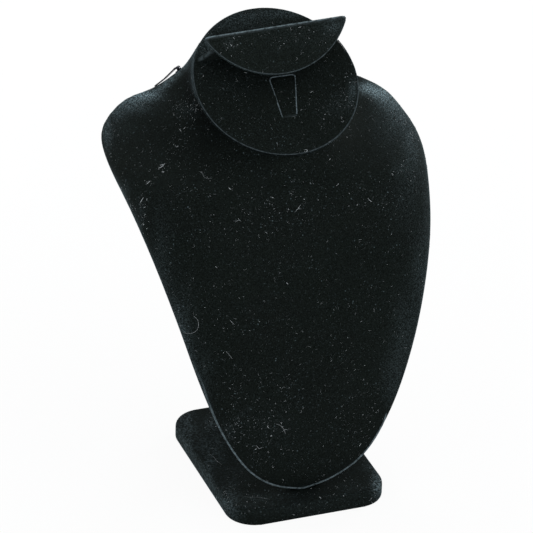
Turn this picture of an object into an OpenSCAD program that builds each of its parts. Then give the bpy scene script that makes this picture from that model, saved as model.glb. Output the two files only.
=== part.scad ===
// Necklace display stand: a flocked chest-shaped shell on a small base,
// with a sloping neck disc that carries a ring tab and a half-moon earring flap.
// Units are millimetres. +Z is up, the front faces -Y, and the origin is the
// middle of the underside of the base.

/* [Base] */
// Width of the base board
base_w = 107; // [96:1:124]
// Depth of the base board, front to back
base_l = 135; // [126:1:150]
// Radius of the base corners in plan
base_corner_r = 19; // [14:1:26]
// Thickness of the covered base board
base_board_t = 10.3; // [8.5:0.1:14]
// Rounding of the base board's upper edge
base_edge_r = 2.4; // [1:0.2:3.4]
// Thickness of the card liner let into the underside of the base
liner_t = 0.8; // [0.5:0.1:1.5]
// How far the liner stays inside the board's edge
liner_inset = 3; // [2:0.5:6]

/* [Bust shell] */
// Full width across the shoulders
shoulder_w = 207; // [196:1:220]
// Height of the shoulder line above the base
shoulder_rise = 232.7; // [228:0.5:238]
// Depth of the shell at the shoulders, from the chest to its rear edge
shoulder_depth = 108; // [100:1:114]
// Distance of the chest behind the base's front edge at the shoulder line
chest_setback = 46.5; // [44:0.5:50]
// Wall of the moulded shell
shell_wall = 3; // [2:0.25:4]

/* [Neck disc] */
// Radius of the neck disc
disc_r = 54; // [51:0.5:58]
// Thickness of the covered disc
disc_t = 3; // [2.5:0.25:4]
// Slope of the disc down towards the front, in degrees
disc_tilt = 35; // [30:1:40]
// Distance of the disc's middle behind the base's front edge
disc_setback = 90.4; // [88:0.2:94]
// Height of the disc's middle above the base
disc_rise = 264.2; // [260:0.2:270]
// How far the disc stands out past the neck
disc_overhang = 1.2; // [0.5:0.1:3]

/* [Ring tab] */
// Width of the ring tab at its free end
tab_top_w = 18; // [14:0.5:20]
// Width of the ring tab at its hinge
tab_hinge_w = 9.8; // [8:0.2:13]
// Length of the ring tab
tab_l = 29.5; // [24:0.5:33]
// Distance of the tab's hinge below the disc's middle
tab_hinge_drop = 27; // [24:0.2:31]
// Sideways place of the tab's hinge on the disc
tab_side = 1.6; // [-3:0.1:4]
// How far the tab's free end leans to the right of its hinge
tab_lean = 3.3; // [0:0.1:5]
// Width of the cut round the tab
tab_cut = 0.9; // [0.6:0.1:1.5]
// Corner radius of the tab's free end
tab_corner_r = 2.4; // [1:0.2:4]

/* [Earring flap] */
// Radius of the flap's curved edge
flap_r = 53.5; // [48:0.5:56]
// Depth of the half-moon, from its fold to the middle of its curved edge
flap_depth = 30.5; // [26:0.5:34]
// Radius of the flap's two corners
flap_corner_r = 2.4; // [2:0.2:4]
// Thickness of the covered card of flap and riser
flap_t = 2; // [1.5:0.1:2.6]
// Height of the riser between the disc and the flap's upper face
riser_h = 28; // [24:0.5:32]
// Distance of the riser behind the disc's middle, along the disc
riser_back = 23; // [20:0.5:25]
// Half width of the riser where it stands on the disc
riser_foot_half = 47.5; // [44:0.5:48.5]
// Half width of the riser at the fold
riser_top_half = 30; // [26:0.5:36]
// Slope of the flap towards the disc, in degrees
flap_slope = 16; // [8:1:18]
// Turn of flap and riser in the disc, in degrees
flap_turn = 0.75; // [0:0.25:2]

/* [Necklace clips] */
// Length of each spring clip
clip_l = 24.5; // [20:0.5:27]
// Width of the spring strip
clip_w = 3.6; // [3:0.2:5]
// Thickness of the spring strip
clip_t = 0.7; // [0.5:0.1:1]
// Outer radius of the curl at the clip's free end
clip_curl_r = 1.7; // [1.5:0.1:2.4]
// Gap between the clip's curl and the neck
clip_lift = 2.8; // [2.6:0.1:4.2]

/* [Support] */
// Width of the support post
post_w = 26; // [22:1:30]
// Depth of the support post, front to back
post_d = 30; // [28:1:34]
// Distance of the post's middle behind the base's front edge
post_setback = 103.5; // [102:0.5:105]
// Radius of the wooden block in the neck
block_r = 41; // [39:0.5:42]
// Thickness of the neck block
block_t = 14; // [12:0.5:16]
// Depth of the pocket for a ring under the tab
pocket_depth = 9; // [6:0.5:10]
// Shank radius of the wood screws
screw_r = 1.75; // [1.5:0.05:2]
// Head radius of the wood screws
screw_head_r = 3.5; // [3:0.1:4]
// Length of the screws in the neck block
neck_screw_l = 26; // [22:1:28]
// Length of the screws in the base
base_screw_l = 32; // [26:1:36]

/* [Hidden] */

velvet = "#1b2223";
eps = 0.01;
far = 400;

base_top = base_board_t;
base_front = -base_l / 2;
disc_y = base_front + disc_setback;
disc_z = base_top + disc_rise;
post_y = base_front + post_setback;

// The disc's own axes in the side view: up the slope, and out of its face
slope_up = [cos(disc_tilt), sin(disc_tilt)];
slope_out = [-sin(disc_tilt), cos(disc_tilt)];

// The neck meets the disc's underside on a circle
neck_r = disc_r - disc_overhang;
neck_mid = [disc_y, disc_z] - disc_t * slope_out;
neck_front = neck_mid - neck_r * slope_up;
neck_back = neck_mid + neck_r * slope_up;

// Chest outline from the tip to the shoulders, as shares of the shell's sizes:
// [rise, half width, depth, setback of the chest, squareness of the section]
chest_stations = [
    [0.000, 0.050, 0.032, 0.387, 2.4],
    [0.007, 0.096, 0.030, 0.366, 2.4],
    [0.033, 0.200, 0.032, 0.270, 2.4],
    [0.098, 0.382, 0.037, 0.196, 2.4],
    [0.222, 0.560, 0.074, 0.172, 2.4],
    [0.385, 0.700, 0.116, 0.194, 2.4],
    [0.557, 0.812, 0.176, 0.280, 2.4],
    [0.708, 0.903, 0.306, 0.419, 2.6],
    [0.815, 0.961, 0.532, 0.570, 2.9],
    [0.893, 1.000, 0.800, 0.742, 2.9],
    [0.934, 0.952, 0.990, 0.860, 2.9],
    [0.962, 0.745, 1.160, 0.925, 2.4]
];
// How far the chest dips below its own rear edge at the last three stations
shoulder_dip = [0, 4, 8.5];

// Neck outline, blended from the shoulder line to the disc:
// [side line back, side line up, width, front, rear back, rear up, squareness]
neck_blend = [
    [0.075, 0.18, 0.67, 0.40, 0.18, 0.21, 2.2],
    [0.335, 0.62, 1.10, 0.65, 0.36, 0.43, 2.1],
    [0.66, 0.78, 1.24, 0.85, 0.45, 0.82, 2.0],
    [1.00, 1.00, 1.00, 1.00, 1.00, 1.00, 2.0]
];

chest_count = len(chest_stations);
last_station = chest_count + len(neck_blend) - 1;

// A station is [side y, side z, half width, front y, front z, rear y, rear z, squareness]
function dip(i) = i < chest_count - 3 ? 0 : shoulder_dip[i - chest_count + 3];
function chest_station(i) = let (
        c = chest_stations[i],
        front = base_front + c[3] * chest_setback,
        side = front + c[2] * shoulder_depth,
        z = base_top + c[0] * shoulder_rise)
    [side, z, c[1] * shoulder_w / 2, front, z - dip(i), side, z, c[4]];
function neck_station(i) = let (
        s = chest_station(chest_count - 1),
        b = neck_blend[i])
    [s[0] + b[0] * (neck_mid[0] - s[0]),
     s[1] + b[1] * (neck_mid[1] - s[1]),
     s[2] + b[2] * (neck_r - s[2]),
     s[3] + b[3] * (neck_front[0] - s[3]),
     s[4] + b[3] * (neck_front[1] - s[4]),
     s[5] + b[4] * (neck_back[0] - s[5]),
     s[6] + b[5] * (neck_back[1] - s[6]),
     b[6]];
function station_at(i) = i < 0 ? 2 * station_at(0) - station_at(1)
    : i > last_station ? 2 * station_at(last_station) - station_at(last_station - 1)
    : i < chest_count ? chest_station(i) : neck_station(i - chest_count);
stations = [for (i = [-1:last_station + 1]) station_at(i)];

// Smooth curve through four stations
function curve(a, b, c, d, t) =
    0.5 * (2 * b + (c - a) * t + (2 * a - 5 * b + 4 * c - d) * t * t
           + (3 * b - a - 3 * c + d) * t * t * t);
function section(s) = let (i = min(floor(s), last_station - 1), t = s - i)
    curve(stations[i], stations[i + 1], stations[i + 2], stations[i + 3], t);

// Point on a section: phi is 0 at the front, 90 at the right edge and 180 at the rear
function power(v, e) = sign(v) * pow(abs(v), e);
function section_point(q, phi) = let (
        s = power(sin(phi), 2 / q[7]),
        c = power(cos(phi), 2 / q[7]),
        end = c >= 0 ? [q[3], q[4]] : [q[5], q[6]],
        k = abs(c))
    [q[2] * s, q[0] + (end[0] - q[0]) * k, q[1] + (end[1] - q[1]) * k];

// Outward direction of the shell's surface
step_s = 0.04;
step_phi = 2;
function unit(v) = v / max(norm(v), eps);
function outward(s, phi) = let (
        a = section_point(section(s), phi - step_phi),
        b = section_point(section(s), phi + step_phi),
        c = section_point(section(max(s - step_s, 0)), phi),
        d = section_point(section(min(s + step_s, last_station)), phi))
    unit(cross(b - a, d - c));

// Rings round the outside of the shell
front_parts = 36;
rear_parts = 15;
ring_phis = concat([for (i = [0:front_parts - 1]) -90 + 180 * i / front_parts],
                   [for (i = [0:rear_parts - 1]) 90 + 180 * i / rear_parts]);
outer_steps = [for (i = [0:3 * last_station]) i / 3];
outer_rings = [for (s = outer_steps) [for (p = ring_phis) section_point(section(s), p)]];

// Rings of the hollow: a wall inside the outer face, and open through the rear
// of the chest, closing behind the neck
hollow_from = 3.6;
hollow_parts = 36;
hollow_front_span = 84;
rear_cut = 8;
closing_from = chest_count;
closing_over = 1.4;
hollow_steps = [for (i = [0:hollow_parts])
    hollow_from + (last_station - hollow_from) * i / hollow_parts];
hollow_phis = concat(
    [for (i = [0:28]) -hollow_front_span + 2 * hollow_front_span * i / 28],
    [for (i = [1:13]) 90 + 180 * i / 14]);
function openness(s) = max(0, min(1, 1 - (s - closing_from) / closing_over));
function hollow_point(s, phi) = let (
        q = section(s),
        p = section_point(q, phi),
        inner = p - shell_wall * outward(s, phi),
        o = openness(s),
        open = [p[0] * (q[2] - shell_wall) / q[2], q[5] + rear_cut, p[2]])
    phi < 90 ? inner : inner + o * (open - inner);
// The hollow runs on through the top of the neck, along the disc's axis
top_run = [0, slope_out[0], slope_out[1]] * shell_wall;
hollow_rings = concat(
    [for (s = hollow_steps) [for (p = hollow_phis) hollow_point(s, p)]],
    [[for (p = hollow_phis) hollow_point(last_station, p) + top_run]]);

// Solid between a list of rings with equal numbers of points
module loft(rings) {
    n = len(rings[0]);
    m = len(rings);
    points = [for (r = rings) for (p = r) p];
    sides = [for (j = [0:m - 2]) for (i = [0:n - 1]) let (k = (i + 1) % n)
        each [[j * n + i, (j + 1) * n + i, (j + 1) * n + k],
              [j * n + i, (j + 1) * n + k, j * n + k]]];
    caps = [[for (i = [0:n - 1]) i], [for (i = [n - 1:-1:0]) (m - 1) * n + i]];
    polyhedron(points = points, faces = concat(sides, caps), convexity = 8);
}

// Everything on the disc is drawn with its middle as the origin: X to the right,
// Y up the slope and Z out of its face
module on_disc() {
    translate([0, disc_y, disc_z]) rotate([disc_tilt, 0, 0]) children();
}

// Outline with rounded corners: each corner is [x, y, radius]
corner_parts = 6;
function corner_points(a, b, c) = let (
        u = unit([a[0] - b[0], a[1] - b[1]]),
        v = unit([c[0] - b[0], c[1] - b[1]]),
        half = acos(max(-1, min(1, u * v))) / 2,
        reach = b[2] / tan(half),
        mid = [b[0], b[1]] + unit(u + v) * b[2] / sin(half),
        from = [b[0], b[1]] + u * reach - mid,
        sweep = 180 - 2 * half,
        side = sign(u[0] * v[1] - u[1] * v[0]))
    [for (i = [0:corner_parts]) let (t = -side * sweep * i / corner_parts)
        mid + [from[0] * cos(t) - from[1] * sin(t), from[0] * sin(t) + from[1] * cos(t)]];
function rounded(corners) = let (n = len(corners))
    [for (i = [0:n - 1]) each corners[i][2] <= 0 ? [[corners[i][0], corners[i][1]]]
        : corner_points(corners[(i + n - 1) % n], corners[i], corners[(i + 1) % n])];

// Plate with rounded corners in plan
module rounded_plate(w, l, r, t) {
    linear_extrude(t) {
        square([w - 2 * r, l], center = true);
        square([w, l - 2 * r], center = true);
        for (x = [-1, 1]) for (y = [-1, 1])
            translate([x * (w / 2 - r), y * (l / 2 - r)]) circle(r, $fn = 64);
    }
}

// The smooth curve swells a little past its stations, so the full width is set here
module bust_shell() {
    color(velvet) resize([shoulder_w, 0, 0]) difference() {
        loft(outer_rings);
        loft(hollow_rings);
    }
}

// Disc of covered card, cut through round three sides of the ring tab
disc_edge_r = 0.9;
module tab_outline(grow) {
    polygon(rounded([
        [-tab_hinge_w / 2 - grow, 0, 0],
        [tab_lean - tab_top_w / 2 - grow, tab_l + grow, tab_corner_r + grow],
        [tab_lean + tab_top_w / 2 + grow, tab_l + grow, tab_corner_r + grow],
        [tab_hinge_w / 2 + grow, 0, 0]]));
}
module on_tab() {
    translate([tab_side, -tab_hinge_drop]) children();
}
module neck_disc() {
    color(velvet) on_disc() translate([0, 0, -disc_t]) difference() {
        rotate_extrude($fn = 120) polygon([
            [0, 0], [disc_r - disc_edge_r, 0], [disc_r, disc_edge_r],
            [disc_r, disc_t - disc_edge_r], [disc_r - disc_edge_r, disc_t], [0, disc_t]]);
        translate([0, 0, -1]) linear_extrude(disc_t + 2) on_tab() difference() {
            tab_outline(tab_cut / 2);
            tab_outline(-tab_cut / 2);
        }
    }
}

// Riser and half-moon flap, folded from one covered card
flap_half = sqrt(flap_r * flap_r - (flap_r - flap_depth) * (flap_r - flap_depth));
flap_arc_parts = 40;
flap_end_cut = 0.8;
flap_arc = [for (i = [0:flap_arc_parts]) let (
        span = asin((flap_half - flap_end_cut) / flap_r),
        a = -span + 2 * span * i / flap_arc_parts)
    [flap_r * sin(a), flap_r - flap_depth - flap_r * cos(a)]];
flap_corner = flap_half - flap_end_cut;
flap_end_y = flap_arc[0][1];
flap_outline = concat(flap_arc,
    [[flap_corner, 0.55 * flap_end_y],
     [flap_corner - flap_corner_r / 3, 0.15 * flap_end_y],
     [flap_corner - flap_corner_r, 0],
     [-flap_corner + flap_corner_r, 0],
     [-flap_corner + flap_corner_r / 3, 0.15 * flap_end_y],
     [-flap_corner, 0.55 * flap_end_y]]);
module earring_flap() {
    color(velvet) on_disc() rotate(flap_turn) union() {
        translate([0, riser_back, 0]) rotate([90, 0, 0]) linear_extrude(flap_t)
            polygon([[-riser_foot_half, 0], [riser_foot_half, 0],
                     [riser_top_half, riser_h - flap_t / 2],
                     [-riser_top_half, riser_h - flap_t / 2]]);
        translate([0, riser_back, riser_h]) rotate([flap_slope, 0, 0])
            translate([0, 0, -flap_t]) linear_extrude(flap_t) polygon(flap_outline);
    }
}

// Spring clip: a flat foot on the shoulder, a rising strip and a curled end.
// Drawn with X along the clip, Y across it and Z away from the neck.
clip_foot_l = 10;
clip_parts = 10;
function clip_mid(i) = let (
        t = i / clip_parts,
        x = clip_foot_l + t * (clip_l - clip_foot_l - clip_curl_r))
    [x, clip_lift * (3 * t * t - 2 * t * t * t)];
clip_line = concat([[0, 0]], [for (i = [0:clip_parts]) clip_mid(i)]);
clip_profile = concat(clip_line,
    [for (i = [len(clip_line) - 1:-1:0]) clip_line[i] + [0, clip_t]]);
clip_end = clip_line[len(clip_line) - 1];
module clip_strip() {
    rotate([90, 0, 0]) translate([0, 0, -clip_w / 2]) linear_extrude(clip_w) {
        polygon(clip_profile);
        translate([clip_end[0], clip_end[1] + clip_t - clip_curl_r]) difference() {
            circle(clip_curl_r, $fn = 48);
            circle(clip_curl_r - clip_t, $fn = 48);
            translate([-2 * clip_curl_r, -clip_curl_r / 2])
                square([2 * clip_curl_r, clip_curl_r * 0.9]);
        }
    }
}
// The clip reaches from the shoulder, where its foot lies, up the flank of the neck
clip_foot_station = chest_count + 0.05;
clip_foot_phi = 113;
clip_end_station = chest_count + 1.35;
clip_end_phi = 119;
clip_seat_gap = 0.3;
clip_foot = section_point(section(clip_foot_station), clip_foot_phi);
clip_toward = section_point(section(clip_end_station), clip_end_phi);
clip_along = unit(clip_toward - clip_foot);
clip_lean = outward(clip_foot_station, clip_foot_phi) + outward(clip_end_station, clip_end_phi);
clip_out = unit(clip_lean - clip_along * (clip_lean * clip_along));
clip_across = cross(clip_out, clip_along);
clip_turn_y = asin(-clip_along[2]);
clip_turn_z = atan2(clip_along[1], clip_along[0]);
clip_turn_x = atan2(clip_across[2], clip_out[2]);
module necklace_clip() {
    translate(clip_foot + clip_seat_gap * clip_out)
        rotate([clip_turn_x, clip_turn_y, clip_turn_z]) clip_strip();
}
module necklace_clip_right() {
    color("silver") necklace_clip();
}
module necklace_clip_left() {
    color("silver") mirror([1, 0, 0]) necklace_clip();
}

// Countersunk wood screw, head up, with the top of its head at the origin
head_h = screw_head_r - screw_r;
screw_clear = 0.05;
module screw(length, clear) {
    rotate_extrude($fn = 40) polygon([
        [0, clear], [screw_head_r + clear, clear], [screw_head_r + clear, 0],
        [screw_r + clear, -head_h], [screw_r + clear, -length - clear],
        [0, -length - clear]]);
}
neck_screw_x = 8;
neck_screw_y = 9.5;
module place_neck_screws() {
    for (x = [-1, 1]) on_disc()
        translate([x * neck_screw_x, neck_screw_y, -disc_t]) children();
}
base_screw_gap = 8;
module place_base_screws() {
    for (y = [-1, 1])
        translate([0, post_y + y * base_screw_gap, liner_t]) rotate([180, 0, 0]) children();
}

// Round block that closes the neck, pocketed so the ring tab can be pressed in
pocket_w = 24;
pocket_top = 4.5;
pocket_l = 36;
pocket_corner_r = 4;
module neck_block() {
    color("burlywood") difference() {
        on_disc() translate([0, 0, -disc_t - block_t]) cylinder(r = block_r, h = block_t, $fn = 96);
        on_disc() translate([tab_side + 1, pocket_top - pocket_l / 2, -disc_t - pocket_depth])
            rounded_plate(pocket_w, pocket_l, pocket_corner_r, pocket_depth + 1);
        place_neck_screws() screw(neck_screw_l, screw_clear);
    }
}

module support_post() {
    color("#2a2a28") difference() {
        translate([-post_w / 2, post_y - post_d / 2, base_top])
            cube([post_w, post_d, disc_z - base_top]);
        on_disc() translate([-far / 2, -far / 2, -disc_t - block_t]) cube([far, far, far]);
        place_neck_screws() screw(neck_screw_l, screw_clear);
        place_base_screws() screw(base_screw_l, screw_clear);
    }
}

module neck_screws() {
    color("gold") place_neck_screws() screw(neck_screw_l, 0);
}

module base_screws() {
    color("gold") place_base_screws() screw(base_screw_l, 0);
}

// Covered board with a rounded upper edge
base_lower_r = 0.6;
liner_gap = 0.2;
module base_corner() {
    rotate_extrude($fn = 64) polygon(concat(
        [[0, 0], [base_corner_r - base_lower_r, 0], [base_corner_r, base_lower_r]],
        [for (a = [0:15:90])
            [base_corner_r - base_edge_r + base_edge_r * cos(a),
             base_board_t - base_edge_r + base_edge_r * sin(a)]],
        [[0, base_board_t]]));
}
module base_board() {
    color(velvet) difference() {
        hull()
            for (x = [-1, 1]) for (y = [-1, 1])
                translate([x * (base_w / 2 - base_corner_r), y * (base_l / 2 - base_corner_r), 0])
                    base_corner();
        translate([0, 0, -eps]) liner_plate(liner_inset - liner_gap, liner_t + eps);
        place_base_screws() screw(base_screw_l, screw_clear);
    }
}

module liner_plate(inset, t) {
    rounded_plate(base_w - 2 * inset, base_l - 2 * inset, base_corner_r - inset, t);
}
module base_liner() {
    color("#26282a") liner_plate(liner_inset, liner_t);
}

bust_shell();
neck_disc();
earring_flap();
necklace_clip_left();
necklace_clip_right();
neck_block();
support_post();
neck_screws();
base_screws();
base_board();
base_liner();
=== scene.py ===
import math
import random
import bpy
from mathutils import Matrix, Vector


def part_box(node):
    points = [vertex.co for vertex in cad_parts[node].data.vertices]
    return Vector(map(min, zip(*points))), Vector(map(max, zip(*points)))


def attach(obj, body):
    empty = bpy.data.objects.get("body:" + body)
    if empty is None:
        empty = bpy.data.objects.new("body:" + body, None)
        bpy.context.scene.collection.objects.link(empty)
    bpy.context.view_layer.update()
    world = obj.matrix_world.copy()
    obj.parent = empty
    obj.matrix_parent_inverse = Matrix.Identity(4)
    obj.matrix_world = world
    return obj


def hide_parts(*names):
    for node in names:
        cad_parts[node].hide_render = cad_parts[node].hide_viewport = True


bl_info = {
    "name": "Necklace Stand Dresser",
    "version": (1, 0, 0),
    "blender": (4, 5, 0),
    "location": "View3D > Sidebar > Necklace Stand",
    "description": "Dresses the packed necklace stand in flock, card, spring steel and lint",
    "category": "Object",
}

import bmesh
import bpy
import numpy as np
from bpy.props import FloatProperty, FloatVectorProperty, IntProperty, PointerProperty
from bpy.types import Operator, Panel, PropertyGroup
from mathutils import Matrix, Vector, kdtree
from mathutils.bvhtree import BVHTree

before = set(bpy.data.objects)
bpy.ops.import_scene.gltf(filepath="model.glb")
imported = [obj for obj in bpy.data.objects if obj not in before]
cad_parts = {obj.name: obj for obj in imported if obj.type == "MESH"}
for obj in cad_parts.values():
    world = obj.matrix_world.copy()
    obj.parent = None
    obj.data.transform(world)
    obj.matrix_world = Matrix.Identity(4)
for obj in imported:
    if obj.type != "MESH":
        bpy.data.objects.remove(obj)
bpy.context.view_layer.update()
MM = 0.001
# Points closer than this are one
WELD = 0.01 * MM


def linear(hex_colour):
    """An sRGB hex colour as linear RGBA."""
    parts = [int(hex_colour[i : i + 2], 16) / 255 for i in (1, 3, 5)]
    low = [c / 12.92 if c <= 0.04045 else ((c + 0.055) / 1.055) ** 2.4 for c in parts]
    return (*low, 1.0)


# The disc's place and tilt, as in the CAD model
DISC_TILT = math.radians(35)
DISC_LOW, DISC_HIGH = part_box("neck_disc")
DISC_RADIUS = (DISC_HIGH.x - DISC_LOW.x) / 2
DISC_THICKNESS = 3.0 * MM
SLOPE_OUT = Vector((0, -math.sin(DISC_TILT), math.cos(DISC_TILT)))
# The middle of the disc's upper face, half a thickness out from the middle of its box
DISC_MIDDLE = (DISC_LOW + DISC_HIGH) / 2 + SLOPE_OUT * DISC_THICKNESS / 2
FROM_DISC = Matrix.Translation(DISC_MIDDLE) @ Matrix.Rotation(DISC_TILT, 4, "X")
TO_DISC = FROM_DISC.inverted()


# What properties of one kind share
COLOUR = {"subtype": "COLOR", "size": 4, "min": 0, "max": 1}
LENGTH = {"subtype": "DISTANCE", "unit": "LENGTH"}
PLACE = {"subtype": "TRANSLATION", "unit": "LENGTH", "size": 3}


class FlockProperties(PropertyGroup):
    pile: FloatVectorProperty(
        name="Pile", description="Colour of the flock", default=linear("#121614"), **COLOUR
    )
    worn: FloatVectorProperty(
        name="Worn", description="Colour where the flock is rubbed thin",
        default=linear("#8a9aa0"), **COLOUR
    )
    fleck: FloatVectorProperty(
        name="Fleck", description="Colour of lint and dust in the pile",
        default=linear("#889ca2"), **COLOUR
    )
    sheen: FloatProperty(
        name="Sheen", description="Strength of the glow along the pile", min=0, max=1,
        default=0.30, subtype="FACTOR",
    )


class MeshProperties(PropertyGroup):
    shell_levels: IntProperty(
        name="Shell levels", description="Subdivisions of the bust shell", min=1, max=2,
        default=2,
    )
    disc_grain: FloatProperty(
        name="Disc grain", description="Size of the disc's mesh faces", min=0.0004, max=0.002,
        default=0.55 * MM, **LENGTH
    )
    flap_grain: FloatProperty(
        name="Flap grain", description="Size of the flap's mesh faces", min=0.0004, max=0.002,
        default=0.5 * MM, **LENGTH
    )
    base_grain: FloatProperty(
        name="Base grain", description="Size of the base's mesh faces", min=0.0006, max=0.003,
        default=0.9 * MM, **LENGTH
    )
    tab_dip: FloatProperty(
        name="Tab dip", description="How far the ring tab's free end is pressed down", min=0,
        max=0.003, default=1.3 * MM, **LENGTH
    )


class LintProperties(PropertyGroup):
    seed: IntProperty(
        name="Seed", description="Start of the lint's random draws", default=11, min=0
    )
    bust_fibres: IntProperty(
        name="Bust fibres", description="Loose fibres on the bust", default=2600, min=0
    )
    disc_fibres: IntProperty(
        name="Disc fibres", description="Loose fibres on the disc, with about half as many on "
        "the flap", default=420, min=0
    )
    base_fibres: IntProperty(
        name="Base fibres", description="Loose fibres on the base", default=300, min=0
    )
    thickness: FloatProperty(
        name="Thickness", description="Thickness of a loose fibre, drawn coarse enough to show",
        min=0.00005, max=0.0005, default=0.16 * MM, **LENGTH
    )


class StageProperties(PropertyGroup):
    camera_place: FloatVectorProperty(
        name="Camera place", description="Where the camera stands",
        default=(-0.81515, -2.10963, 1.39528), **PLACE
    )
    camera_aim: FloatVectorProperty(
        name="Camera aim", description="What the camera looks at",
        default=(0.02074, 0.08508, 0.10232), **PLACE
    )
    camera_roll: FloatProperty(
        name="Camera roll", description="Turn of the camera about its view", subtype="ANGLE",
        unit="ROTATION", default=math.radians(1.578),
    )
    lens: FloatProperty(
        name="Lens", description="Focal length on a 36 mm sensor, in millimetres",
        default=268.4, min=20, max=500,
    )
    key_power: FloatProperty(
        name="Key power", description="Watts of the large soft lamp", default=4.0, min=0
    )
    sky: FloatProperty(
        name="Sky", description="Strength of the even studio light", default=0.9, min=0
    )


def deselect():
    if bpy.context.object and bpy.context.object.mode != "OBJECT":
        bpy.ops.object.mode_set(mode="OBJECT")
    bpy.ops.object.select_all(action="DESELECT")


def activate(piece):
    deselect()
    piece.select_set(True)
    bpy.context.view_layer.objects.active = piece


def open_all(piece):
    """Puts a piece in edit mode with all of it selected."""
    activate(piece)
    bpy.ops.object.mode_set(mode="EDIT")
    bpy.ops.mesh.select_all(action="SELECT")


def apply_modifiers(piece):
    activate(piece)
    for modifier in list(piece.modifiers):
        bpy.ops.object.modifier_apply(modifier=modifier.name)


def copy_of(node, name):
    """A merged copy of a CAD node's mesh, as a piece of its own."""
    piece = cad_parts[node].copy()
    piece.data = piece.data.copy()
    piece.name = name
    piece.data.name = name
    piece.parent = None
    for key in list(piece.keys()):
        if key.startswith("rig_"):
            del piece[key]
    piece.data.materials.clear()
    bpy.context.scene.collection.objects.link(piece)
    open_all(piece)
    bpy.ops.mesh.remove_doubles(threshold=WELD)
    bpy.ops.object.mode_set(mode="OBJECT")
    bpy.ops.mesh.customdata_custom_splitnormals_clear()
    return piece


def seat(piece, slot, *nodes):
    """Parents the piece to the root body, and hides the CAD nodes that it stands in for."""
    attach(piece, "root")
    if nodes:
        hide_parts(*nodes)


def swell(piece, amount):
    """Grows a piece a little along its normals, for what smoothing took off it."""
    open_all(piece)
    bpy.ops.transform.shrink_fatten(value=amount)
    bpy.ops.object.mode_set(mode="OBJECT")


def points_of(piece):
    count = len(piece.data.vertices)
    co = np.empty(count * 3, np.float64)
    piece.data.vertices.foreach_get("co", co)
    return co.reshape(count, 3)


def set_points(piece, points):
    piece.data.vertices.foreach_set("co", np.asarray(points, np.float64).ravel())
    piece.data.update()


def smooth_noise(points, size, seed):
    """Soft random values from -1 to 1 at points, with lumps of about the given size."""
    draw = np.random.RandomState(seed)
    total = np.zeros(len(points))
    for _ in range(10):
        way = draw.normal(size=3)
        way /= np.linalg.norm(way)
        wave = 2 * math.pi / (size * draw.uniform(0.7, 1.6))
        total += np.sin(points @ way * wave + draw.uniform(0, 2 * math.pi))
    return total / 4.5


def sharp_edge_points(mesh, least_angle, step):
    """Points along a mesh's sharp edges."""
    source = bmesh.new()
    source.from_mesh(mesh)
    bmesh.ops.remove_doubles(source, verts=source.verts, dist=WELD)
    found = []
    for edge in source.edges:
        if len(edge.link_faces) == 2 and edge.calc_face_angle(0) > least_angle:
            a, b = edge.verts[0].co, edge.verts[1].co
            count = max(1, math.ceil((b - a).length / step))
            found += [a.lerp(b, i / count) for i in range(count)]
    source.free()
    return found


def nearness(points, marks, reach):
    """1 at the marks, falling to 0 at the given reach."""
    tree = kdtree.KDTree(len(marks))
    for i, mark in enumerate(marks):
        tree.insert(mark, i)
    tree.balance()
    far = np.array([tree.find(Vector(p))[2] for p in points])
    return np.clip(1 - far / reach, 0, 1)


def paint(piece, name, values):
    """Stores one number a vertex for the material to read."""
    layer = piece.data.attributes.new(name, "FLOAT", "POINT")
    layer.data.foreach_set("value", np.asarray(values, np.float32))


# The picture is square, and its marks are given in these pixels
FRAME_PIXELS = 533


def camera_view():
    """The camera's place, its turn, and its focal length in pixels of the square frame."""
    bpy.context.view_layer.update()
    camera = bpy.context.scene.camera
    focal = camera.data.lens / camera.data.sensor_width * FRAME_PIXELS
    return camera.matrix_world.translation.copy(), camera.matrix_world.to_3x3(), focal


def ray_through(x, y):
    """The camera's place and the direction through a pixel."""
    place, turn, focal = camera_view()
    half = FRAME_PIXELS / 2
    return place, (turn @ Vector(((x - half) / focal, (half - y) / focal, -1))).normalized()


def pixels_of(points):
    """Where points fall in the frame, for marks that have their place in it."""
    place, turn, focal = camera_view()
    seen = (points - np.array(place)) @ np.array(turn)
    half = FRAME_PIXELS / 2
    scale = focal / seen[:, 2]
    return np.stack([half - scale * seen[:, 0], half + scale * seen[:, 1]], -1)


def normals_of(piece):
    count = len(piece.data.vertices)
    found = np.empty(count * 3, np.float32)
    piece.data.vertex_normals.foreach_get("vector", found)
    return found.reshape(count, 3)


def soft_spots(piece, spots, side_dust_and_sheen=0.0):
    """Spots of dust and painted sheen on the side of a piece that faces the camera, and a further
    amount on its left and right sides below the shoulders: dust where hands hold it, with painted
    sheen where those sides turn away."""
    points = points_of(piece)
    place = np.array(camera_view()[0])
    toward = place - points
    toward /= np.linalg.norm(toward, axis=1)[:, None]
    normals = normals_of(piece)
    # The dust and painted sheen stop short at the outline
    facing = np.clip((normals * toward).sum(axis=1) * 40, 0, 1)
    at = pixels_of(points)
    total = np.zeros(len(points))
    for x, y, wide, high, strength in spots:
        across, down = (at[:, 0] - x) / wide, (at[:, 1] - y) / high
        total += strength * np.exp(-(across**2) - down**2)
    # Painted sheen, with dust, on the sides that turn left and right below the shoulders
    sideways = np.clip((np.abs(normals[:, 0]) - 0.45) / 0.5, 0, 1)
    below_shoulders = np.clip((190 * MM - points[:, 2]) / (50 * MM), 0, 1)
    return total * facing + side_dust_and_sheen * (sideways * below_shoulders) ** 1.5


def node(tree, kind, *inputs, out=0, **named):
    """Adds a shader node and gives one of its outputs. Inputs go in by their place, and a
    name is a setting of the node or else an input, where i6 is the input at place 6."""
    made = tree.nodes.new("ShaderNode" + kind)
    values = dict(enumerate(inputs))
    for name, value in named.items():
        if hasattr(made, name):
            setattr(made, name, value)
        else:
            values[int(name[1:]) if name[1:].isdigit() else name.replace("_", " ")] = value
    for name, value in values.items():
        if isinstance(value, bpy.types.NodeSocket):
            tree.links.new(value, made.inputs[name])
        else:
            made.inputs[name].default_value = value
    return made.outputs[out] if made.outputs else None


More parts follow.
